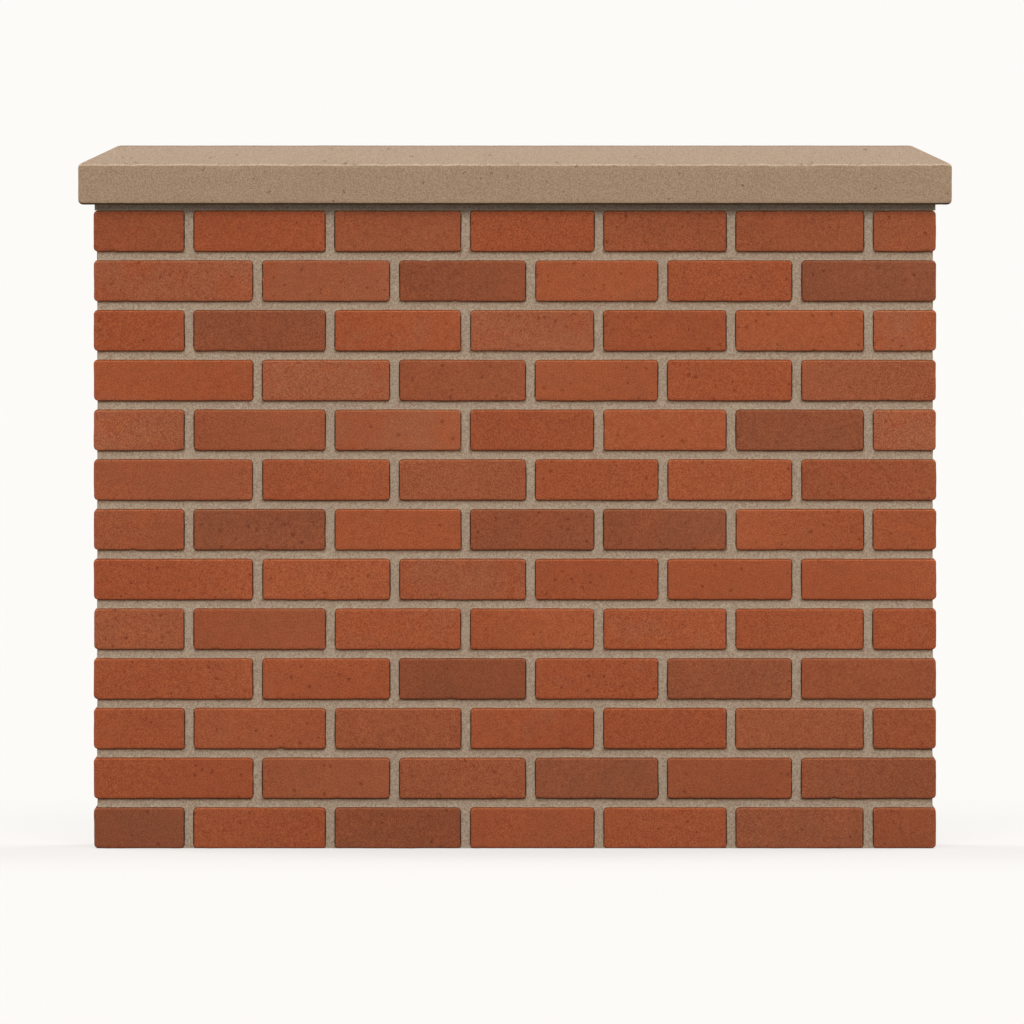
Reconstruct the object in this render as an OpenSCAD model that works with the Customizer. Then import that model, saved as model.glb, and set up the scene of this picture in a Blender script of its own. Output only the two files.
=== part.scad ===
// Freestanding brick garden wall, one brick thick, under a stone coping with a sloping top.
// The wall runs along X, its face looks toward -Y and it stands on z = 0.
// The origin is at the middle of its foot.

/* [Brickwork] */
// Length of the brickwork
wall_length = 1270; // [800:5:2000]
// Thickness of the brickwork, the length of one brick laid across the wall
wall_thickness = 215; // [180:1:260]
// Height of one brick
brick_height = 62; // [50:1:80]

/* [Mortar] */
// Height of a bed joint between two courses
bed_joint = 13; // [8:0.5:18]
// Width of an upright joint between two bricks
head_joint = 13; // [8:0.5:18]
// How far the joints are raked back behind the faces of the bricks
joint_rake = 5; // [2:0.5:10]
// Height of the mortar bed under the coping
coping_bed_height = 9; // [5:0.5:20]

/* [Coping] */
// Height of the coping's upright faces
coping_face_height = 60; // [40:1:90]
// How far the top rises above those faces
coping_rise = 29; // [15:1:60]
// How far the slope reaches in from each face and each end
coping_slope_run = 60; // [30:1:80]
// How far the coping runs past each end of the brickwork
coping_end_overhang = 23; // [10:1:40]
// How far the coping runs past each face of the brickwork
coping_face_overhang = 23; // [20:1:40]
// Radius of the worn edges along the coping's faces
coping_edge_radius = 3; // [1.5:0.5:8]
// Radius of the worn edges across the coping's ends
coping_end_radius = 7; // [2:0.5:15]
// Radius between the slopes and the flat top
coping_top_radius = 20; // [5:1:30]

/* [Drip grooves] */
// Width of the groove under each overhang
drip_width = 8; // [5:0.5:10]
// Depth of the groove
drip_depth = 6; // [3:0.5:10]
// Distance from the coping's face to the groove
drip_inset = 7; // [5:0.5:9]

/* [Hidden] */
// Courses in the wall, the first one on the ground
course_count = 13;
// Middles of the upright joints in the odd courses, from the left end
odd_joint_shares = [0.113, 0.2805, 0.4415, 0.5995, 0.7565, 0.9195];
// Middles of the upright joints in the even courses, from the left end
even_joint_shares = [0.1945, 0.357, 0.5185, 0.6755, 0.8345];
// Straight steps in each rounded corner of the coping
arc_steps = 6;
// Every cut runs this far past the face that it opens
overrun = 1;

course_pitch = brick_height + bed_joint;
brickwork_height = course_count * course_pitch - bed_joint;
coping_base = brickwork_height + coping_bed_height;
coping_length = wall_length + 2 * coping_end_overhang;
coping_depth = wall_thickness + 2 * coping_face_overhang;
bed_length = wall_length - 2 * joint_rake;
bed_depth = wall_thickness - 2 * joint_rake;

brick_colour = "#A85F3F";
mortar_colour = "#A5967F";
stone_colour = "#A68E73";

function numbered(name, i) = str(name, i < 10 ? "_0" : "_", i);
function course_name(i) = numbered("course", i);
function bed_name(i) = numbered("bed_joint", i);
function course_base(i) = (i - 1) * course_pitch;
function is_even(i) = i % 2 == 0;
function joint_shares(i) = is_even(i) ? even_joint_shares : odd_joint_shares;
function unit(v) = v / norm(v);

// Points along the arc that rounds one corner of an outline drawn counter-clockwise.
function corner_arc(before, corner, after, radius) =
    let(
        back = unit(before - corner),
        ahead = unit(after - corner),
        half_angle = acos(back * ahead) / 2,
        centre = corner + unit(back + ahead) * radius / sin(half_angle),
        first = corner + back * radius / tan(half_angle) - centre,
        start = atan2(first.y, first.x),
        sweep = 180 - 2 * half_angle
    )
    [for (k = [0 : arc_steps])
        let(angle = start + k / arc_steps * sweep)
            centre + radius * [cos(angle), sin(angle)]];

// The coping's outline seen along one of its sides: upright faces, slopes and a flat top.
function coping_outline(width, radius) =
    let(
        half = width / 2,
        shoulder = half - coping_slope_run,
        top = coping_face_height + coping_rise,
        corners = [[-half, 0], [half, 0], [half, coping_face_height], [shoulder, top],
                   [-shoulder, top], [-half, coping_face_height]],
        radii = [radius, radius, radius, coping_top_radius, coping_top_radius, radius],
        n = len(corners)
    )
    [for (k = [0 : n - 1])
        each corner_arc(corners[(k + n - 1) % n], corners[k], corners[(k + 1) % n], radii[k])];

// A slab centred on the wall's middle plane, standing on z = base.
module slab(length, depth, height, base) {
    translate([-length / 2, -depth / 2, base])
        cube([length, depth, height]);
}

// The upright joint that is raked back on both faces of one course, as a cutting shape.
module face_joint(share, base) {
    x = (share - 1 / 2) * wall_length;
    for (side = [-1, 1])
        translate([x, side * (wall_thickness + overrun - joint_rake) / 2, base - overrun])
            translate([-head_joint / 2, -(joint_rake + overrun) / 2, 0])
                cube([head_joint, joint_rake + overrun, brick_height + 2 * overrun]);
}

// The upright joint between the two brick ends that an even course shows at the wall's ends.
module end_joint(base) {
    for (side = [-1, 1])
        translate([side * (wall_length + overrun - joint_rake) / 2, 0, base - overrun])
            translate([-(joint_rake + overrun) / 2, -head_joint / 2, 0])
                cube([joint_rake + overrun, head_joint, brick_height + 2 * overrun]);
}

// One course of bricks. The odd courses end in a brick laid across the wall.
module course(i) {
    color(brick_colour)
        difference() {
            slab(wall_length, wall_thickness, brick_height, course_base(i));
            for (share = joint_shares(i))
                face_joint(share, course_base(i));
            if (is_even(i))
                end_joint(course_base(i));
        }
}

// The mortar between course i and the one above it, raked back all round.
module bed(i) {
    color(mortar_colour)
        slab(bed_length, bed_depth, bed_joint, course_base(i) + brick_height);
}

// The mortar under the coping, struck flush with the bricks.
module coping_bed() {
    color(mortar_colour)
        slab(wall_length, wall_thickness, coping_bed_height, brickwork_height);
}

// A bar with the coping's outline, lying along X.
module sloped_bar(length, depth, radius) {
    rotate([90, 0, 90])
        translate([0, 0, -length / 2])
            linear_extrude(height = length)
                polygon(coping_outline(depth, radius));
}

// The groove under one long overhang that makes rainwater drip clear of the bricks.
module drip_groove(side) {
    translate([0, side * (coping_depth / 2 - drip_inset - drip_width / 2), 0])
        slab(coping_length + 2 * overrun, drip_width, drip_depth + overrun, -overrun);
}

// The coping stone, which slopes up from all four sides to a flat top.
module coping() {
    color(stone_colour)
        translate([0, 0, coping_base])
            difference() {
                intersection() {
                    sloped_bar(coping_length, coping_depth, coping_edge_radius);
                    rotate([0, 0, 90])
                        sloped_bar(coping_depth, coping_length, coping_end_radius);
                }
                for (side = [-1, 1])
                    drip_groove(side);
            }
}

for (i = [1 : course_count])
    course(i);
for (i = [1 : course_count - 1])
    bed(i);
coping_bed();
coping();
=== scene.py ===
"""The looks of a brick garden wall: separate fired bricks, raked mortar and a weathered coping stone."""

import itertools
import math

import bpy
import numpy as np
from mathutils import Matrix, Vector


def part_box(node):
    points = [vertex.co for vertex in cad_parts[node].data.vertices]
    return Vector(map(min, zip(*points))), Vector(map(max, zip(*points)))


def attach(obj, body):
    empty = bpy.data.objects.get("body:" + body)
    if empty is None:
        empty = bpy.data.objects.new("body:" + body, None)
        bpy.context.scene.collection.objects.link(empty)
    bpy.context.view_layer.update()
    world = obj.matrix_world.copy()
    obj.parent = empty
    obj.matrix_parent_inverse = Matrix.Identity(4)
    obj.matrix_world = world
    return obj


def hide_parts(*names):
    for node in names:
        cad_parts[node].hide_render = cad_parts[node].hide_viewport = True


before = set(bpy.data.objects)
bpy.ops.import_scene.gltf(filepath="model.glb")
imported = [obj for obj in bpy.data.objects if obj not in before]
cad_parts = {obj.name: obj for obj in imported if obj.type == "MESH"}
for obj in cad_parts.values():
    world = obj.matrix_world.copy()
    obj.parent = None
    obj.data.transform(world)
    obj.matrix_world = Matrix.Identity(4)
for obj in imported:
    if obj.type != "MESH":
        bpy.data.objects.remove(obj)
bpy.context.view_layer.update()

# Joints between the bricks, in metres as all lengths here
HEAD_JOINT = 0.013
JOINT_RAKE = 0.005
# How far the mortar under the coping lies behind the faces of the bricks
STRUCK_BACK = 0.001

# Bricks: the radii of their corners and of the edges round their faces
BRICK_CORNER = 0.0064
BRICK_ARRIS = 0.0032
# How far a brick may end beside its place, and how much its face leans
BRICK_PLAY = 0.0004
BRICK_LEAN = 0.002
# Chips in the edges of one face: the least and the most, and the share of them on the long edges
BRICK_CHIPS = (2, 5)
LONG_EDGE_SHARE = 0.75
BRICK_CHIP_RADII = (0.003, 0.007)
BRICK_CHIP_DEPTHS = (0.0005, 0.0012)

# The coping: the height of its upright faces, the run of its slopes and the radii of its edges
COPING_FACE = 0.060
COPING_RUN = 0.060
COPING_CORNER = 0.004
COPING_EDGE_RADIUS = 0.003
COPING_END_RADIUS = 0.007
COPING_TOP_RADIUS = 0.020
# How far from its edges the coping is worn
WORN_REACH = 0.012
# Chips along its upper edges, and how often one lies at an end of the stone
COPING_CHIPS = 240
END_CHIP_EVERY = 6
COPING_CHIP_RADII = (0.003, 0.008)
COPING_CHIP_DEPTHS = (0.0005, 0.0016)
# The grooves under the coping's long overhangs, and how sharp their edges are
DRIP_WIDTH = 0.008
DRIP_DEPTH = 0.006
DRIP_INSET = 0.007
DRIP_LIP = 0.0004

# Unevenness of the faces and of the worn edges: the height and the size of each noise
BRICK_FACE_WAVES = ((0.00030, 0.052), (0.00016, 0.015))
BRICK_EDGE_WAVES = ((0.00024, 0.024), (0.00022, 0.009))
MORTAR_WAVES = ((0.0006, 0.026), (0.0004, 0.011))
COPING_FACE_WAVES = ((0.00015, 0.07), (0.00012, 0.016))
COPING_EDGE_WAVES = ((0.00020, 0.024), (0.00052, 0.009))

# Distances between the points of each mesh
BRICK_STEP = 0.0042
BRICK_END_STEP = 0.007
MORTAR_STEP = 0.0048
COPING_STEP = 0.0044
# Rows of points up the mortar of a course and of the coping's bed, up the coping's face and its slope,
# and round each of its edges
COURSE_ROWS = 7
COPING_BED_ROWS = 4
FACE_ROWS = 13
SLOPE_ROWS = 14
ARC_ROWS = 5
# The room between pieces of the surface map, and the side of a piece for a hidden face
MAP_GAP = 0.002
FAN_MAP = 0.01

# Seeds of what is random. Each course adds its number to the first.
BRICK_SEED = 400
COPING_SEED = 91
COPING_NOISE_SEED = 5
MORTAR_NOISE_SEED = 77

# The bond: middles of the upright joints, as shares of the wall's length from its left end
ODD_JOINT_SHARES = (0.113, 0.2805, 0.4415, 0.5995, 0.7565, 0.9195)
EVEN_JOINT_SHARES = (0.1945, 0.357, 0.5185, 0.6755, 0.8345)

COURSES = 13
# Hard-burnt bricks in the front face: places from the left, for each course from the ground up
HARD_BURNT = {1: (1, 3, 6), 2: (4, 6), 4: (3, 5), 7: (2, 4, 5), 9: (6,), 11: (2,), 12: (3, 6)}
# Bricks between those and the bright ones, numbered the same way
HALF_BURNT = {
    1: (7,),
    2: (2, 3, 5),
    3: (3, 6, 7),
    4: (6,),
    5: (1, 2),
    7: (1,),
    8: (1, 3, 6),
    9: (2,),
    10: (3, 6),
    13: (1, 3, 5, 6, 7),
}
# Pale bricks with more sand in their faces
SANDY = {6: (3,), 9: (1, 3, 7), 10: (2,), 11: (4, 7), 12: (1, 2)}
# How each kind is fired, as a range on the scale of colours below
TONES = {"hard": (0.02, 0.20), "half": (0.36, 0.50), "bright": (0.62, 0.80), "sandy": (0.93, 1.0)}
# The share of each kind where the wall isn't seen
KIND_SHARES = (0.17, 0.22, 0.50, 0.11)
# Colours of the fired clay, from hard-burnt to sandy
CLAY_COLOURS = (
    (0.00, (0.213, 0.061, 0.0254)),
    (0.22, (0.244, 0.065, 0.0253)),
    (0.45, (0.273, 0.0705, 0.0268)),
    (0.65, (0.298, 0.0716, 0.0248)),
    (0.80, (0.306, 0.0706, 0.0239)),
    (1.00, (0.290, 0.0845, 0.0357)),
)
# The tone of mortar with no painted light or shade, and what the rows of a bed get where they meet a brick,
# from the lowest row
# up: the course below or the bed's own course, and the change. Below the plain tone lies painted shadow from
# the brick above;
# above it lies painted light on the lower part of the joint, over the brick below.
PLAIN_TONE = 0.5
BED_PAINTED_SHADING = ((-1, 0.5), (0, 0.0), (0, -0.15), (0, -0.5))
# The tint that changes nothing
PLAIN = (1, 1, 1)
# How far below its top the coping begins to turn darker, and where it is darkest
CROWN_LINE = (0.0024, 0.0012)
# The height up to which the wall turns darker toward the ground, and how dark it is at its foot
DARKENING_HEIGHT = 0.4
FOOT_DARKNESS = 0.955
BUMP_STRENGTH = 0.5
BUMP_DISTANCE = 0.0008

# The camera, which looks at the front from far away: its place, its tilt in degrees and its lens
# in millimetres
CAMERA_PLACE = (-0.0045, -30.1075, 0.9893)
CAMERA_TILT = 89.0796
CAMERA_LENS = 699.5


def noise(points, size, seed):
    """Smooth noise from -1 to 1 at points, with features about size across."""
    place = points / size
    cell = np.floor(place).astype(np.int64)
    part = place - cell
    part = part * part * (3 - 2 * part)
    result = np.zeros(len(points))
    for corner in itertools.product((0, 1), repeat=3):
        key = cell + np.array(corner)
        mark = key[:, 0] * 73856093 ^ key[:, 1] * 19349663 ^ key[:, 2] * 83492791 ^ seed * 2654435761
        mark = (mark ^ (mark >> 13)) * 1274126177
        value = ((mark ^ (mark >> 16)) & 0xFFFFFF) / 0x7FFFFF - 1
        result += value * np.prod(np.where(corner, part, 1 - part), axis=1)
    return result


def waves(points, parts, seed):
    """The sum of noises at points, each given by its height and size. Each one takes the next seed."""
    return sum(height * noise(points, size, seed + k) for k, (height, size) in enumerate(parts))


class Shell:
    """Grids of points that make one mesh, with values at its points and a map for its surface."""

    def __init__(self):
        self.points = []
        self.values = {"local": [], "tone": [], "rim": []}
        self.normals = []
        self.count = 0
        self.grids = []
        self.fans = []

    def add(self, points, local, tone, rim):
        """Adds points with their values, and returns their numbers."""
        start = self.count
        self.count += len(points)
        self.points.append(points)
        self.values["local"].append(local)
        self.values["tone"].append(np.broadcast_to(tone, len(points)))
        self.values["rim"].append(np.broadcast_to(rim, len(points)))
        return np.arange(start, self.count)

    def add_grid(self, numbers, width, height):
        """Smooth quads between the rows and columns of numbers, mapped to a rectangle of that size."""
        self.grids.append((numbers, width, height))

    def add_fan(self, ring, middle):
        """Flat triangles from a closed ring of numbers to a middle point, where little shows."""
        self.fans.append((ring, middle))

    def rectangles(self):
        """Lower left corners for the mapped rectangles, laid in rows, and the side of the square."""
        sizes = [(w, h) for _, w, h in self.grids] + [(FAN_MAP, FAN_MAP)] * len(self.fans)
        spare = 1.06
        side = math.sqrt(sum((w + MAP_GAP) * (h + MAP_GAP) for w, h in sizes)) * spare
        side = max(side, max(w for w, _ in sizes) + 2 * MAP_GAP)
        corners = [None] * len(sizes)
        x, y, row = MAP_GAP, MAP_GAP, 0.0
        for k in sorted(range(len(sizes)), key=lambda k: -sizes[k][1]):
            w, h = sizes[k]
            if x + w + MAP_GAP > side:
                x, y, row = MAP_GAP, y + row + MAP_GAP, 0.0
            corners[k] = (x, y)
            x += w + MAP_GAP
            row = max(row, h)
        return corners, max(side, y + row + MAP_GAP)

    def faces(self):
        """Point numbers and map places at the corners of all faces, and each face's corner count."""
        corners, side = self.rectangles()
        loops, maps, counts = [], [], []
        for (numbers, w, h), (x, y) in zip(self.grids, corners):
            rows, columns = numbers.shape
            u = np.broadcast_to(np.linspace(x, x + w, columns), numbers.shape)
            v = np.broadcast_to(np.linspace(y, y + h, rows)[:, None], numbers.shape)
            cells = []
            for table in (numbers, u, v):
                around = (table[:-1, :-1], table[:-1, 1:], table[1:, 1:], table[1:, :-1])
                cells.append(np.stack(around, axis=-1).reshape(-1))
            loops.append(cells[0])
            maps.append(np.stack(cells[1:], axis=1))
            counts.append(np.full((rows - 1) * (columns - 1), 4))
        for (ring, middle), (x, y) in zip(self.fans, corners[len(self.grids):]):
            n = len(ring)
            turn = np.linspace(0, 2 * math.pi, n + 1)
            hub = np.array([x + FAN_MAP / 2, y + FAN_MAP / 2])
            edge = np.stack([np.cos(turn), np.sin(turn)], axis=1) * FAN_MAP / 2 + hub
            loops.append(np.stack([ring, np.roll(ring, -1), np.full(n, middle)], axis=1).reshape(-1))
            maps.append(np.stack([edge[:-1], edge[1:], np.tile(hub, (n, 1))], axis=1).reshape(-1, 2))
            counts.append(np.full(n, 3))
        return np.concatenate(loops), np.concatenate(maps) / side, np.concatenate(counts)

    def build(self, name, material):
        """The mesh object, which rides on the wall."""
        loops, maps, counts = self.faces()
        points = np.concatenate(self.points)
        mesh = bpy.data.meshes.new(name)
        mesh.vertices.add(len(points))
        mesh.vertices.foreach_set("co", points.astype(np.float32).reshape(-1))
        mesh.loops.add(len(loops))
        mesh.loops.foreach_set("vertex_index", loops.astype(np.int32))
        mesh.polygons.add(len(counts))
        mesh.polygons.foreach_set("loop_start", (np.cumsum(counts) - counts).astype(np.int32))
        mesh.polygons.foreach_set("use_smooth", counts == 4)
        for key, kind, field in (
            ("local", "FLOAT_VECTOR", "vector"),
            ("tone", "FLOAT", "value"),
            ("rim", "FLOAT", "value"),
        ):
            layer = mesh.attributes.new(key, kind, "POINT")
            layer.data.foreach_set(field, np.concatenate(self.values[key]).astype(np.float32).reshape(-1))
        uv = mesh.uv_layers.new(name="OFBake")
        uv.data.foreach_set("uv", maps.astype(np.float32).reshape(-1))
        mesh.update(calc_edges=True)
        if self.normals:
            mesh.normals_split_custom_set_from_vertices(np.concatenate(self.normals))
        mesh.materials.append(material)
        piece = bpy.data.objects.new(name, mesh)
        bpy.context.scene.collection.objects.link(piece)
        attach(piece, "root")
        return piece


def rounded(x, z, half_x, half_z, corner, inset):
    """Points of a box outline moved to the same outline with round corners, inset by a distance."""
    core = np.array([half_x - corner, half_z - corner])
    place = np.stack([x, z], axis=-1)
    share = np.clip((np.abs(place) - core) / corner, 0, 1)
    length = np.maximum(np.hypot(share[..., 0], share[..., 1]), 1e-9)
    both = (share > 0).all(axis=-1)
    scale = np.where(both, share.max(axis=-1) / length, 1.0) * (corner - inset)
    away = np.sign(place) * share
    return np.clip(place, -core, core) + away * scale[..., None], away / length[..., None]


def spaced(half, corner, step):
    """Lines across a face, about step apart, with two more in each rounded corner."""
    core = half - corner
    lines = np.linspace(-core, core, max(2, round(2 * core / step)) + 1)
    return np.concatenate([[-half, -half + corner / 2], lines, [half - corner / 2, half]])


def rim_order(rows, columns):
    """Row and column numbers along the edge of a grid, counter-clockwise from the lower left."""
    low = [(0, c) for c in range(columns - 1)]
    right = [(r, columns - 1) for r in range(rows - 1)]
    high = [(rows - 1, c) for c in range(columns - 1, 0, -1)]
    left = [(r, 0) for r in range(rows - 1, 0, -1)]
    order = np.array(low + right + high + left)
    return order[:, 0], order[:, 1]


def bites(points, chips):
    """How deep the chips, given as spot, radius and depth, cut in at each point."""
    result = np.zeros(len(points))
    for spot, radius, depth in chips:
        away = np.linalg.norm(points - spot, axis=1) / radius
        result += depth * np.clip(1 - away**2, 0, 1) ** 1.5
    return result


class Brick:
    """One brick: rounded corners, worn edges and chips. Outward is -1 or 1 where it ends the wall."""

    def __init__(self, rng, low, high, outward):
        self.middle = (low + high) / 2
        self.half = (high - low) / 2
        self.outward = outward
        self.x = spaced(self.half[0], BRICK_CORNER, BRICK_STEP)
        self.z = spaced(self.half[2], BRICK_CORNER, BRICK_STEP)
        self.offset = rng.uniform(3, 40, 3)
        self.seed = int(rng.integers(1, 1 << 20))
        self.lean = rng.normal(0, BRICK_LEAN, 2)
        self.chips = {-1: [], 1: []}

    def chip_edges(self, rng, side):
        """Small chips along the edges of the front or back face."""
        fewest, most = BRICK_CHIPS
        for _ in range(int(rng.integers(fewest, most + 1))):
            if rng.random() < LONG_EDGE_SHARE:
                x, z = rng.uniform(-1, 1), rng.choice((-1, 1))
            else:
                x, z = rng.choice((-1, 1)), rng.uniform(-1, 1)
            spot = np.array([x, side, z]) * self.half
            self.chips[side].append((spot, rng.uniform(*BRICK_CHIP_RADII), rng.uniform(*BRICK_CHIP_DEPTHS)))

    def worn(self, points, normals, edge):
        """Points after wear: uneven faces, wavy edges and chips."""
        place = points + self.offset
        shift = waves(place, BRICK_FACE_WAVES, self.seed)
        shift += edge * waves(place, BRICK_EDGE_WAVES, self.seed + len(BRICK_FACE_WAVES))
        moved = points + normals * shift[:, None]
        for side, chips in self.chips.items():
            bite = bites(points, chips)
            moved[:, 1] -= side * bite
            moved -= (bite * edge)[:, None] * normals
        return moved

    def place(self, points):
        """Points from the brick's own frame to the wall's, leaning a little."""
        leaning = points.copy()
        leaning[:, 1] += points[:, 0] * self.lean[0] + points[:, 2] * self.lean[1]
        return leaning + self.middle

    def stations(self, front_shows, back_shows, side_step):
        """Rings from front to back: inset, place along Y, turn of the way out, and the end they belong to."""
        turn = np.radians([0, 30, 60, 90])
        inset = BRICK_ARRIS * (1 - np.sin(turn))
        deep = self.half[1] - BRICK_ARRIS * (1 - np.cos(turn))
        shown = list(zip(inset, deep, turn))
        hidden = [(0.0, self.half[1], math.pi / 2)]
        front = [(i, -y, t, -1) for i, y, t in (shown if front_shows else hidden)]
        back = [(i, y, t, 1) for i, y, t in reversed(shown if back_shows else hidden)]
        first, last = front[-1][1], back[0][1]
        if side_step:
            between = np.linspace(first, last, max(2, round((last - first) / side_step)) + 1)[1:-1]
        else:
            near = 2 * JOINT_RAKE
            between = [first + near] * front_shows + [last - near] * back_shows
        return front + [(0.0, y, math.pi / 2, 0) for y in between] + back

    def add_to(self, shell, tone, front_shows, back_shows, side_step):
        """Adds the brick to a shell. Where an end shows, the sides get lines side_step apart."""
        half = self.half
        gx, gz = np.meshgrid(self.x, self.z)
        rows, columns = rim_order(*gx.shape)
        stations = self.stations(front_shows, back_shows, side_step)
        rings = []
        for k, (inward, y, angle, side) in enumerate(stations):
            capped = (k == 0 and front_shows) or (k == len(stations) - 1 and back_shows)
            x, z = (gx, gz) if capped else (gx[rows, columns], gz[rows, columns])
            flat, away = rounded(x.reshape(-1), z.reshape(-1), half[0], half[2], BRICK_CORNER, inward)
            points = np.insert(flat, 1, y, axis=1)
            normals = np.insert(away * math.sin(angle), 1, side * math.cos(angle), axis=1)
            edge = np.full(len(flat), math.sin(angle))
            moved = self.worn(points, normals, edge)
            # The rim drives the painted edge light and shade; on the wall's outer ends the side edges get
            # little of it.
            rim = np.where(away[:, 0] * self.outward > 0, edge * np.abs(away[:, 1]) ** 3, edge)
            numbers = shell.add(self.place(moved), moved + self.offset, tone, rim)
            if capped:
                numbers = numbers.reshape(gx.shape)
                shell.add_grid(numbers if side < 0 else numbers[:, ::-1], 2 * half[0], 2 * half[2])
                numbers = numbers[rows, columns]
            rings.append(numbers)
        band = np.stack(rings[::-1])
        band = np.concatenate([band, band[:, :1]], axis=1)
        shell.add_grid(band, 4 * (half[0] + half[2]), 2 * half[1])
        for shows, ring, y in ((front_shows, rings[0], -half[1]), (back_shows, rings[-1][::-1], half[1])):
            if not shows:
                spot = np.array([[0.0, y, 0.0]])
                hub = shell.add(self.place(spot), spot + self.offset, tone, 1.0)
                shell.add_fan(ring, hub[0])


def kind_of(course, place):
    """How a brick of the front face is burnt."""
    for kind, places in (("hard", HARD_BURNT), ("half", HALF_BURNT), ("sandy", SANDY)):
        if place in places.get(course, ()):
            return kind
    return "bright"


def joint_places(course, low, high):
    """Middles of the upright joints of a course, along X."""
    shares = ODD_JOINT_SHARES if course % 2 else EVEN_JOINT_SHARES
    return [low[0] + share * (high[0] - low[0]) for share in shares]


def lay_course(course, material):
    """The bricks of one course. The odd courses end in a brick laid across the wall."""
    name = f"course_{course:02d}"
    low, high = (np.array(corner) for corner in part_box(name))
    rng = np.random.default_rng(BRICK_SEED + course)
    shell = Shell()
    joints = joint_places(course, low, high)
    starts = [low[0]] + [x + HEAD_JOINT / 2 for x in joints]
    ends = [x - HEAD_JOINT / 2 for x in joints] + [high[0]]
    for place, (x0, x1) in enumerate(zip(starts, ends), start=1):
        outward = {1: -1, len(starts): 1}.get(place, 0)
        at_end = outward != 0
        play = rng.uniform(-BRICK_PLAY, BRICK_PLAY, 2)
        if at_end and course % 2:
            leaves = [(low[1], high[1], True, True)]
        else:
            leaves = [(low[1], -HEAD_JOINT / 2, True, at_end), (HEAD_JOINT / 2, high[1], at_end, True)]
        for y0, y1, front, back in leaves:
            lower = np.array([x0 + play[0], y0, low[2]])
            upper = np.array([x1 + play[1], y1, high[2]])
            brick = Brick(rng, lower, upper, outward)
            for side, shows in ((-1, front), (1, back)):
                if shows:
                    brick.chip_edges(rng, side)
            kind = kind_of(course, place) if y0 == low[1] else rng.choice(list(TONES), p=KIND_SHARES)
            side_step = BRICK_END_STEP if at_end else 0.0
            brick.add_to(shell, rng.uniform(*TONES[kind]), front, back, side_step)
    piece = shell.build(f"bricks_{name}", material)
    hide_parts(name)


def loop_round(low, high, step):
    """Points around a rectangle, counter-clockwise from its front left corner, and the way out at each."""
    corners = np.array([(low[0], low[1]), (high[0], low[1]), (high[0], high[1]), (low[0], high[1])])
    outward = np.array([(0.0, -1.0), (1.0, 0.0), (0.0, 1.0), (-1.0, 0.0)])
    points, ways = [], []
    for k in range(4):
        run = corners[(k + 1) % 4] - corners[k]
        count = round(np.abs(run).sum() / step)
        points.append(corners[k] + np.arange(count)[:, None] / count * run)
        way = np.tile(outward[k], (count, 1))
        way[0] += outward[k - 1]
        ways.append(way)
    return np.concatenate(points), np.concatenate(ways)


def relief(points):
    """How far the rough face of the mortar stands out at points."""
    return waves(points, MORTAR_WAVES, MORTAR_NOISE_SEED)


def add_sheet(shell, loop, levels, tones):
    """The rough face of the mortar round a loop of points with ways out, and a tone for each level."""
    flat, ways = loop
    outward = np.insert(ways, 2, 0.0, axis=1)
    reach = 0.001
    rows = []
    for z, tone in zip(levels, tones):
        points = np.insert(flat, 2, z, axis=1)
        rises = [relief(points + move) - relief(points - move) for move in reach * np.eye(3)]
        normals = outward - np.stack(rises, axis=1) / (2 * reach) * (outward == 0)
        shell.normals.append(normals / np.linalg.norm(normals, axis=1)[:, None])
        points += outward * relief(points)[:, None]
        rows.append(shell.add(points, points, tone, 0.0))
    table = np.stack(rows)
    table = np.concatenate([table, table[:, :1]], axis=1)
    part_columns = 80
    for first in range(0, len(flat), part_columns):
        part = table[:, first:first + part_columns + 1]
        shell.add_grid(part, MORTAR_STEP * (part.shape[1] - 1), levels[-1] - levels[0])
    for ring, z, way in ((rows[-1], levels[-1], 1.0), (rows[0][::-1], levels[0], -1.0)):
        spot = np.array([[0.0, 0.0, z]])
        hub = shell.add(spot, spot, PLAIN_TONE, 0.0)
        shell.normals.append(np.array([[0.0, 0.0, way]]))
        shell.add_fan(ring, hub[0])


def meets_brick(course, low, high, flat):
    """1 at the places round the wall where a course has a brick, and 0 at its upright joints."""
    away = np.abs(flat[:, :1] - joint_places(course, low, high)).min(axis=1)
    if course % 2 == 0:
        away = np.minimum(away, np.abs(flat[:, 1]))
    return (away > HEAD_JOINT / 2).astype(float)


def point_course(course, material):
    """The mortar of one course: the bed that it lies on and the upright joints between its bricks."""
    low, high = (np.array(corner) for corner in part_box(f"course_{course:02d}"))
    loop = loop_round(low + JOINT_RAKE, high - JOINT_RAKE, MORTAR_STEP)
    levels = np.linspace(low[2], high[2], COURSE_ROWS)
    tones = [PLAIN_TONE] * len(levels)
    if course > 1:
        bed_low, bed_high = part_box(f"bed_joint_{course - 1:02d}")
        bed_levels = np.linspace(bed_low[2], bed_high[2], len(BED_PAINTED_SHADING))
        bed_shading = [
            PLAIN_TONE + change * meets_brick(course + beside, low, high, loop[0])
            for beside, change in BED_PAINTED_SHADING
        ]
        levels = np.concatenate([bed_levels[:-1], levels])
        tones = bed_shading + tones[1:]
    shell = Shell()
    add_sheet(shell, loop, levels, tones)
    piece = shell.build(f"mortar_course_{course:02d}", material)
    if course > 1:
        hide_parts(f"bed_joint_{course - 1:02d}")


def bed_coping(material):
    """The mortar under the coping, struck a little behind the faces of the bricks."""
    low, high = (np.array(corner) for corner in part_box("coping_bed"))
    loop = loop_round(low + STRUCK_BACK, high - STRUCK_BACK, MORTAR_STEP)
    levels = np.linspace(low[2], high[2], COPING_BED_ROWS)
    shell = Shell()
    add_sheet(shell, loop, levels, [PLAIN_TONE] * len(levels))
    piece = shell.build("mortar_coping_bed", material)
    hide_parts("coping_bed")


def arc(inset, level, radius, start, end):
    """Stations along a rounded edge: inset, level and turn of the way out above the horizontal."""
    turn = np.linspace(start, end, ARC_ROWS)
    return np.stack([inset - radius * np.cos(turn), level + radius * np.sin(turn), turn], axis=1)


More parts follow.
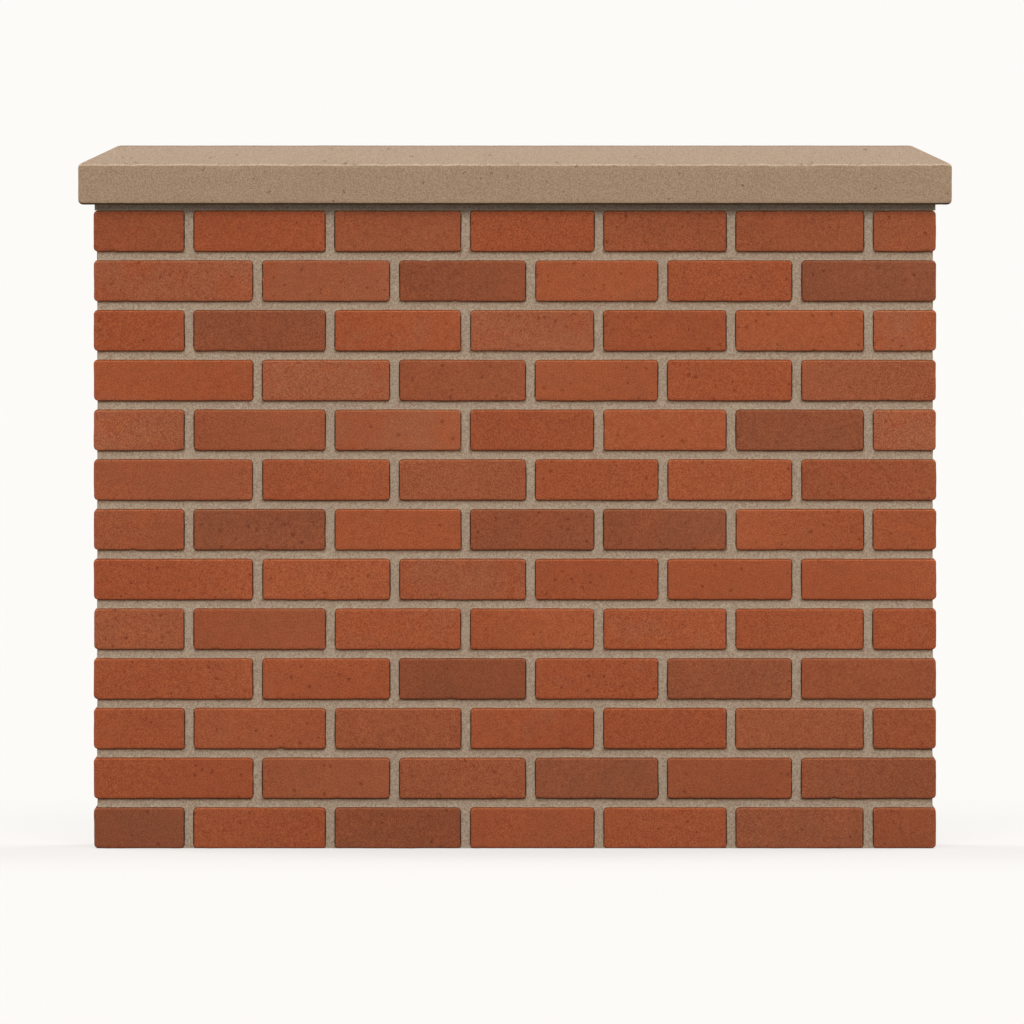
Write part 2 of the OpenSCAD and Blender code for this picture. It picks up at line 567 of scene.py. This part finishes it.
def coping_profile(radius, rise):
    """Stations up the side of the coping, and how near each is to its worn edge."""
    slope = math.atan2(rise, COPING_RUN)
    turn = math.pi / 2 - slope
    foot = arc(radius, radius, radius, -math.pi / 2, 0)
    shoulder = arc(radius, COPING_FACE - radius * math.tan(turn / 2), radius, 0, turn)
    reach = COPING_RUN + COPING_TOP_RADIUS * math.tan(slope / 2)
    crown = arc(reach, COPING_FACE + rise - COPING_TOP_RADIUS, COPING_TOP_RADIUS, turn, math.pi / 2)
    face = np.linspace(foot[-1], shoulder[0], FACE_ROWS)[1:-1]
    weathering = np.linspace(shoulder[-1], crown[0], SLOPE_ROWS)[1:-1]
    stations = np.concatenate([foot, face, shoulder, weathering, crown])
    worn_edges = np.stack([edge[ARC_ROWS // 2, :2] for edge in (foot, shoulder)])
    away = np.linalg.norm(stations[:, None, :2] - worn_edges, axis=2).min(axis=1)
    return stations, np.clip(1 - away / WORN_REACH, 0, 1)


class Coping:
    """The coping stone, worn along its edges, with a drip groove under each overhang."""

    def __init__(self, rng, low, high):
        self.middle = np.array([(low[0] + high[0]) / 2, (low[1] + high[1]) / 2, low[2]])
        self.half = (high[:2] - low[:2]) / 2
        rise = high[2] - low[2] - COPING_FACE
        self.long, self.edge = coping_profile(COPING_EDGE_RADIUS, rise)
        self.end, _ = coping_profile(COPING_END_RADIUS, rise)
        self.groove = self.half[1] - DRIP_INSET
        x = spaced(self.half[0], COPING_CORNER, COPING_STEP)
        y = spaced(self.half[1], COPING_CORNER, COPING_STEP)
        sharp = self.groove - np.array([-DRIP_LIP, DRIP_LIP, DRIP_WIDTH - DRIP_LIP, DRIP_WIDTH + DRIP_LIP])
        y = y[np.abs(np.abs(y)[:, None] - sharp).min(axis=1) > 2 * DRIP_LIP]
        y = np.sort(np.concatenate([y, sharp, -sharp]))
        self.gx, self.gy = np.meshgrid(x, y)
        self.chips = []
        for k in range(COPING_CHIPS):
            along, side = rng.uniform(-1, 1), rng.choice((-1, 1))
            at_end = k % END_CHIP_EVERY == 0
            flat = np.array([side, along] if at_end else [along, side]) * self.half
            spot = np.append(flat, COPING_FACE)
            self.chips.append((spot, rng.uniform(*COPING_CHIP_RADII), rng.uniform(*COPING_CHIP_DEPTHS)))

    def drawn_in(self, y, inset, level):
        """Places across the stone once it is inset. Up to the shoulder the lines of the grooves stay."""
        if level > COPING_FACE:
            return y * (1 - inset / self.half[1])
        outer = np.maximum(np.abs(y) - self.groove, 0) * inset / DRIP_INSET
        return y - np.sign(y) * outer

    def worn(self, points, normals, edge):
        """Points after wear: nearly flat faces, chips and uneven edges, the lower one straighter."""
        shift = waves(points, COPING_FACE_WAVES, COPING_NOISE_SEED)
        uneven = np.where(points[:, 2] < COPING_FACE / 2, edge / 2, edge)
        shift += uneven * waves(points, COPING_EDGE_WAVES, COPING_NOISE_SEED + len(COPING_FACE_WAVES))
        shift -= bites(points, self.chips)
        return points + normals * shift[:, None]

    def grooved(self, points):
        """Points of the underside raised where a drip groove runs."""
        reach = self.groove - np.abs(points[:, 1])
        inside = (reach > 0) & (reach < DRIP_WIDTH)
        lifted = points.copy()
        lifted[:, 2] += np.where(inside, DRIP_DEPTH * np.clip(1 - points[:, 2] / (2 * DRIP_DEPTH), 0, 1), 0)
        return lifted

    def ring(self, k, x, y):
        """Points of station k over the given places, before any groove, and how near an edge they are."""
        (end_inset, end_level, end_turn), (inset, level, turn) = self.end[k], self.long[k]
        half_x, half_y = self.half[0] - end_inset, self.half[1] - inset
        drawn = x * (half_x / self.half[0])
        flat, away = rounded(drawn, self.drawn_in(y, inset, level), half_x, half_y, COPING_CORNER, 0.0)
        share = away[:, 0] ** 2
        angle = turn + share * (end_turn - turn)
        points = np.insert(flat, 2, level + share * (end_level - level), axis=1)
        normals = np.insert(away * np.cos(angle)[:, None], 2, np.sin(angle), axis=1)
        edge = np.full(len(points), self.edge[k])
        return self.worn(points, normals, edge), edge

    def add_to(self, shell):
        """Adds the stone to a shell."""
        rows, columns = rim_order(*self.gx.shape)
        rings = []
        last = len(self.long) - 1
        for k in range(last + 1):
            capped = k in (0, last)
            x, y = (self.gx, self.gy) if capped else (self.gx[rows, columns], self.gy[rows, columns])
            points, edge = self.ring(k, x.reshape(-1), y.reshape(-1))
            numbers = shell.add(self.grooved(points) + self.middle, points, PLAIN_TONE, edge)
            if capped:
                numbers = numbers.reshape(self.gx.shape)
                shell.add_grid(numbers if k else numbers[:, ::-1], 2 * self.half[0], 2 * self.half[1])
                numbers = numbers[rows, columns]
            rings.append(numbers)
        band = np.stack(rings)
        band = np.concatenate([band, band[:, :1]], axis=1)
        height = COPING_FACE + math.hypot(COPING_RUN, self.long[-1][1] - COPING_FACE)
        part_columns = 120
        for first in range(0, band.shape[1] - 1, part_columns):
            part = band[:, first:first + part_columns + 1]
            shell.add_grid(part, COPING_STEP * (part.shape[1] - 1), height)


def lay_coping(material):
    """The coping stone on its bed."""
    low, high = (np.array(corner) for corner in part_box("coping"))
    shell = Shell()
    Coping(np.random.default_rng(COPING_SEED), low, high).add_to(shell)
    piece = shell.build("coping_stone", material)
    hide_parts("coping")


def add_node(tree, kind, inputs=None, **settings):
    """A shader node with its settings, and its inputs linked or set."""
    node = tree.nodes.new(kind)
    for key, value in settings.items():
        setattr(node, key, value)
    for key, value in (inputs or {}).items():
        if isinstance(value, bpy.types.NodeSocket):
            tree.links.new(value, node.inputs[key])
        else:
            node.inputs[key].default_value = value
    return node


def math_node(tree, operation, a, b=0.0, clamp=False):
    """The result of one calculation on two numbers."""
    return add_node(tree, "ShaderNodeMath", {0: a, 1: b}, operation=operation, use_clamp=clamp).outputs[0]


def stepped(tree, value, low, high, start=0.0, end=1.0):
    """The value as it goes smoothly from low to high, given as start to end."""
    inputs = {"Value": value, "From Min": low, "From Max": high, "To Min": start, "To Max": end}
    return add_node(tree, "ShaderNodeMapRange", inputs, interpolation_type="SMOOTHSTEP").outputs[0]


def mixed(tree, share, a, b, blend="MIX"):
    """Two colours mixed."""
    node = add_node(tree, "ShaderNodeMix", {0: share, 6: a, 7: b}, data_type="RGBA", blend_type=blend)
    return node.outputs[2]


def times(tree, colour, shade):
    """A colour made darker or lighter by a number."""
    grey = add_node(tree, "ShaderNodeCombineColor", {0: shade, 1: shade, 2: shade}).outputs[0]
    return mixed(tree, 1.0, colour, grey, "MULTIPLY")


def tinted(tree, colour, share, start, end):
    """A colour multiplied by a tint that goes from start to end as share goes from 0 to 1."""
    tint = mixed(tree, share, (*start, 1), (*end, 1))
    return mixed(tree, 1.0, colour, tint, "MULTIPLY")


def total(tree, *parts):
    """The sum of values, each given with its weight."""
    result = 0.0
    for value, weight in parts:
        result = math_node(tree, "ADD", math_node(tree, "MULTIPLY", value, weight), result)
    return result


def speckle(tree, where, size, detail=2.0, rough=0.5):
    """Noise from 0 to 1 with features about size across, in metres."""
    inputs = {"Vector": where, "Scale": 1 / size, "Detail": detail, "Roughness": rough}
    return add_node(tree, "ShaderNodeTexNoise", inputs).outputs[0]


def strayed(tree, where, size, reach):
    """Places shifted here and there by up to about reach, so that a pattern loses its regular shapes."""
    drift = add_node(tree, "ShaderNodeTexNoise", {"Vector": where, "Scale": 1 / size, "Detail": 1.0})
    parts = {0: drift.outputs[1], 1: (0.5, 0.5, 0.5)}
    centred = add_node(tree, "ShaderNodeVectorMath", parts, operation="SUBTRACT")
    spread = {0: centred.outputs[0], 1: (2 * reach, 2 * reach, 2 * reach), 2: where}
    return add_node(tree, "ShaderNodeVectorMath", spread, operation="MULTIPLY_ADD").outputs[0]


def pits(tree, where, size, share, small, large):
    """Uneven pits in some of the cells of a pattern, from 0 on the face to 1 in a pit."""
    loose = strayed(tree, where, 0.2 * size, 0.2 * size)
    cells = add_node(tree, "ShaderNodeTexVoronoi", {"Vector": loose, "Scale": 1 / size})
    chosen = add_node(tree, "ShaderNodeSeparateColor", {0: cells.outputs["Color"]})
    some = math_node(tree, "LESS_THAN", chosen.outputs[0], share)
    reach = stepped(tree, chosen.outputs[1], 0.0, 1.0, small, large)
    inside = math_node(tree, "DIVIDE", cells.outputs["Distance"], reach)
    return math_node(tree, "MULTIPLY", stepped(tree, inside, 1.0, 0.4), some)


def new_material(name):
    """A material with a Principled shader, and its node tree."""
    material = bpy.data.materials.new(name)
    material.use_nodes = True
    tree = material.node_tree
    return material, tree, tree.nodes["Principled BSDF"]


def attribute(tree, name, output):
    """A value that the mesh holds at its points."""
    return add_node(tree, "ShaderNodeAttribute", attribute_name=name).outputs[output]


def finish_shader(tree, shader, colour, roughness, height, specular):
    """Links a colour, a roughness and a bump to the shader, and sets its gloss."""
    inputs = {"Strength": BUMP_STRENGTH, "Distance": BUMP_DISTANCE, "Height": height}
    bump = add_node(tree, "ShaderNodeBump", inputs)
    tree.links.new(colour, shader.inputs["Base Color"])
    tree.links.new(roughness, shader.inputs["Roughness"])
    tree.links.new(bump.outputs[0], shader.inputs["Normal"])
    shader.inputs["Specular IOR Level"].default_value = specular


def upwardness(tree):
    """How far a face looks up, from -1 to 1."""
    normal = add_node(tree, "ShaderNodeNewGeometry").outputs["Normal"]
    return add_node(tree, "ShaderNodeSeparateXYZ", {0: normal}).outputs[2]


def darker_toward_ground(tree):
    """A factor for the wall's colour that is a little darker toward the ground."""
    place = add_node(tree, "ShaderNodeNewGeometry").outputs["Position"]
    level = add_node(tree, "ShaderNodeSeparateXYZ", {0: place}).outputs[2]
    return stepped(tree, level, 0.0, DARKENING_HEIGHT, FOOT_DARKNESS, 1.0)


def clay_colour(tree, tone):
    """The colour of the fired clay for a tone on its scale."""
    node = add_node(tree, "ShaderNodeValToRGB", {0: tone})
    elements = node.color_ramp.elements
    while len(elements) < len(CLAY_COLOURS):
        elements.new(0.5)
    for element, (place, colour) in zip(elements, CLAY_COLOURS):
        element.position = place
        element.color = (*colour, 1)
    return node.outputs[0]


def brick_edge_light_and_shade(tree, colour, rim):
    """The colour of a brick with painted shade on its edges and painted light inside its lower and upper
    ones.
    """
    upward = upwardness(tree)
    # Painted shade on the side edges; on the lower edge painted light, with painted shade at its rim; on the
    # upper edge a painted highlight, with a painted dark line at its rim.
    side = times(tree, colour, stepped(tree, rim, 0.30, 0.66, 1.0, 0.24))
    lower = times(tree, colour, stepped(tree, rim, 0.05, 0.35, 1.0, 1.22))
    lower = times(tree, lower, stepped(tree, rim, 0.70, 1.00, 1.0, 0.60))
    upper = tinted(tree, colour, stepped(tree, rim, 0.02, 0.20), PLAIN, (1.52, 1.74, 1.82))
    upper = times(tree, upper, stepped(tree, rim, 0.28, 0.52, 1.0, 0.48))
    colour = mixed(tree, stepped(tree, upward, 0.02, 0.12), side, upper)
    return mixed(tree, stepped(tree, upward, -0.05, -0.20), colour, lower)


def brick_material():
    """Sandy fired clay that differs from brick to brick."""
    material, tree, shader = new_material("fired_clay")
    where = attribute(tree, "local", "Vector")
    rim = attribute(tree, "rim", "Fac")
    broad = speckle(tree, where, 0.05)
    middling = speckle(tree, where, 0.010)
    sand = speckle(tree, where, 0.0024, rough=0.6)
    dust = speckle(tree, where, 0.0012, detail=1.0)
    holes = pits(tree, where, size=0.014, share=0.50, small=0.08, large=0.28)
    patches = stepped(tree, broad, 0.2, 0.8, -0.12, 0.12)
    tone = math_node(tree, "ADD", attribute(tree, "tone", "Fac"), patches)
    grain = stepped(tree, total(tree, (sand, 0.45), (dust, 0.55)), 0.32, 0.68)
    colour = tinted(tree, clay_colour(tree, tone), grain, (0.78, 0.52, 0.48), (1.22, 1.48, 1.52))
    colour = times(tree, colour, stepped(tree, middling, 0.25, 0.75, 0.94, 1.06))
    each = stepped(tree, speckle(tree, where, 0.4, detail=0.0), 0.25, 0.75)
    colour = tinted(tree, colour, each, (0.94, 0.90, 0.87), (1.06, 1.10, 1.13))
    colour = times(tree, colour, darker_toward_ground(tree))
    colour = tinted(tree, colour, holes, PLAIN, (0.71, 0.61, 0.55))
    colour = brick_edge_light_and_shade(tree, colour, rim)
    height = total(tree, (sand, 0.5), (dust, 0.25), (middling, 0.5), (holes, -0.9))
    rough = stepped(tree, sand, 0.2, 0.8, 0.82, 0.97)
    finish_shader(tree, shader, colour, rough, height, specular=0.22)
    return material


def mortar_material():
    """Sandy mortar with pale and dark grains, with a painted shadow where its tone is low and painted light
    where it is high.
    """
    material, tree, shader = new_material("sandy_mortar")
    where = attribute(tree, "local", "Vector")
    broad = speckle(tree, where, 0.06)
    grains = speckle(tree, where, 0.0029, rough=0.6)
    fine = speckle(tree, where, 0.0015, detail=1.0)
    dark = pits(tree, where, size=0.0062, share=0.25, small=0.10, large=0.24)
    tone = attribute(tree, "tone", "Fac")
    colour = mixed(tree, broad, (0.320, 0.236, 0.166, 1), (0.352, 0.266, 0.190, 1))
    grain = stepped(tree, total(tree, (grains, 0.5), (fine, 0.5)), 0.32, 0.68)
    colour = tinted(tree, colour, grain, (0.74, 0.62, 0.60), (1.26, 1.38, 1.40))
    # Painted shadow under each brick above, and painted light on the lower part of each bed joint
    colour = tinted(tree, colour, stepped(tree, tone, PLAIN_TONE, 0.0), PLAIN, (0.56, 0.45, 0.37))
    colour = tinted(tree, colour, stepped(tree, tone, PLAIN_TONE, 1.0), PLAIN, (1.12, 1.15, 1.15))
    colour = times(tree, colour, darker_toward_ground(tree))
    colour = times(tree, colour, stepped(tree, dark, 0.0, 1.0, 1.0, 0.66))
    height = total(tree, (grains, 0.8), (fine, 0.3), (dark, -0.6))
    rough = stepped(tree, grains, 0.2, 0.8, 0.88, 1.0)
    finish_shader(tree, shader, colour, rough, height, specular=0.18)
    return material


def stone_material():
    """Tan fine-grained stone with small pits, painted light where it faces up and on its upper edges, painted
    shade below.
    """
    material, tree, shader = new_material("tan_stone")
    where = attribute(tree, "local", "Vector")
    rim = attribute(tree, "rim", "Fac")
    upward = upwardness(tree)
    broad = speckle(tree, where, 0.09, detail=3.0)
    grains = speckle(tree, where, 0.0026, rough=0.6)
    fine = speckle(tree, where, 0.0013, detail=1.0)
    holes = pits(tree, where, size=0.020, share=0.80, small=0.08, large=0.20)
    notches = stepped(tree, speckle(tree, where, 0.005, rough=0.7), 0.30, 0.46)
    colour = mixed(tree, broad, (0.305, 0.204, 0.128, 1), (0.333, 0.226, 0.145, 1))
    # Painted light: faces that look up get a paler colour.
    lit_top_colour = mixed(tree, broad, (0.316, 0.226, 0.158, 1), (0.340, 0.246, 0.174, 1))
    colour = mixed(tree, stepped(tree, upward, 0.15, 0.7), colour, lit_top_colour)
    grain = stepped(tree, total(tree, (grains, 0.5), (fine, 0.5)), 0.32, 0.68)
    colour = tinted(tree, colour, grain, (0.82, 0.75, 0.73), (1.18, 1.25, 1.27))
    colour = tinted(tree, colour, holes, PLAIN, (0.68, 0.60, 0.53))
    # A painted highlight along the upper worn edges, broken by notches.
    arris = math_node(tree, "MULTIPLY", stepped(tree, rim, 0.80, 0.93), stepped(tree, upward, 0.02, 0.22))
    pale = math_node(tree, "MULTIPLY", arris, notches)
    colour = tinted(tree, colour, pale, PLAIN, (1.46, 1.53, 1.60))
    low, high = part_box("coping")
    line_start, line_end = (high[2] - low[2] - below for below in CROWN_LINE)
    level = add_node(tree, "ShaderNodeSeparateXYZ", {0: where}).outputs[2]
    colour = times(tree, colour, stepped(tree, level, line_start, line_end, 1.0, 0.86))
    colour = times(tree, colour, stepped(tree, upward, 0.986, 0.997, 1.0, 1.08))
    # Painted shade: faces that look down turn much darker.
    colour = tinted(tree, colour, stepped(tree, upward, -0.42, -0.02), (0.17, 0.135, 0.09), PLAIN)
    height = total(tree, (grains, 0.8), (fine, 0.3), (holes, -1.2))
    rough = stepped(tree, grains, 0.2, 0.8, 0.84, 0.97)
    finish_shader(tree, shader, colour, rough, height, specular=0.22)
    return material


def seen_directly(tree):
    """1 for light that goes to the camera, also by a mirror or through glass, and 0 for the rest."""
    path = add_node(tree, "ShaderNodeLightPath").outputs
    share = math_node(tree, "ADD", path["Is Camera Ray"], path["Is Glossy Ray"], clamp=True)
    return math_node(tree, "ADD", share, path["Is Transmission Ray"], clamp=True)


def set_floor():
    """A plain pale floor that keeps a soft shadow."""
    material, tree, shader = new_material("pale_floor")
    shader.inputs["Base Color"].default_value = (0.25, 0.245, 0.238, 1)
    shader.inputs["Roughness"].default_value = 1.0
    shader.inputs["Specular IOR Level"].default_value = 0.0
    shader.inputs["Emission Color"].default_value = (1.0, 0.983, 0.957, 1)
    tree.links.new(math_node(tree, "MULTIPLY", seen_directly(tree), 0.64), shader.inputs["Emission Strength"])
    size, level = 60.0, -0.0005
    corners = [(-size, -size, level), (size, -size, level), (size, size, level), (-size, size, level)]
    mesh = bpy.data.meshes.new("floor")
    mesh.from_pydata(corners, [], [(0, 1, 2, 3)])
    mesh.materials.append(material)
    floor = bpy.data.objects.new("floor", mesh)
    bpy.context.scene.collection.objects.link(floor)


def add_sun(name, energy, spread, height, direction):
    """A soft lamp far away, at a height above the horizon and a direction round the wall, in degrees."""
    lamp = bpy.data.lights.new(name, "SUN")
    lamp.energy = energy
    lamp.angle = math.radians(spread)
    sun = bpy.data.objects.new(name, lamp)
    sun.rotation_euler = (math.radians(90 - height), 0, math.radians(direction))
    bpy.context.scene.collection.objects.link(sun)


def set_stage():
    """The floor, the soft light and the camera."""
    scene = bpy.context.scene
    scene.view_settings.view_transform = "Standard"
    set_floor()
    world = bpy.data.worlds.new("studio")
    world.use_nodes = True
    tree = world.node_tree
    colour = mixed(tree, seen_directly(tree), (0.5, 0.5, 0.5, 1), (0.982, 0.965, 0.940, 1))
    tree.links.new(colour, tree.nodes["Background"].inputs["Color"])
    scene.world = world
    add_sun("key", energy=2.3, spread=30, height=30, direction=0)
    for side, turn in (("left", -1), ("right", 1)):
        add_sun(f"rear_{side}", energy=1.0, spread=30, height=50, direction=130 * turn)
        add_sun(f"end_{side}", energy=0.6, spread=6, height=3, direction=90 * turn)

    lens = bpy.data.cameras.new("camera")
    lens.sensor_width = 36
    lens.lens = CAMERA_LENS
    lens.clip_end = 300
    camera = bpy.data.objects.new("camera", lens)
    camera.location = CAMERA_PLACE
    camera.rotation_euler = (math.radians(CAMERA_TILT), 0, 0)
    scene.collection.objects.link(camera)
    scene.camera = camera


clay = brick_material()
mortar = mortar_material()
stone = stone_material()
for course in range(1, COURSES + 1):
    lay_course(course, clay)
    point_course(course, mortar)
bed_coping(mortar)
lay_coping(stone)
set_stage()
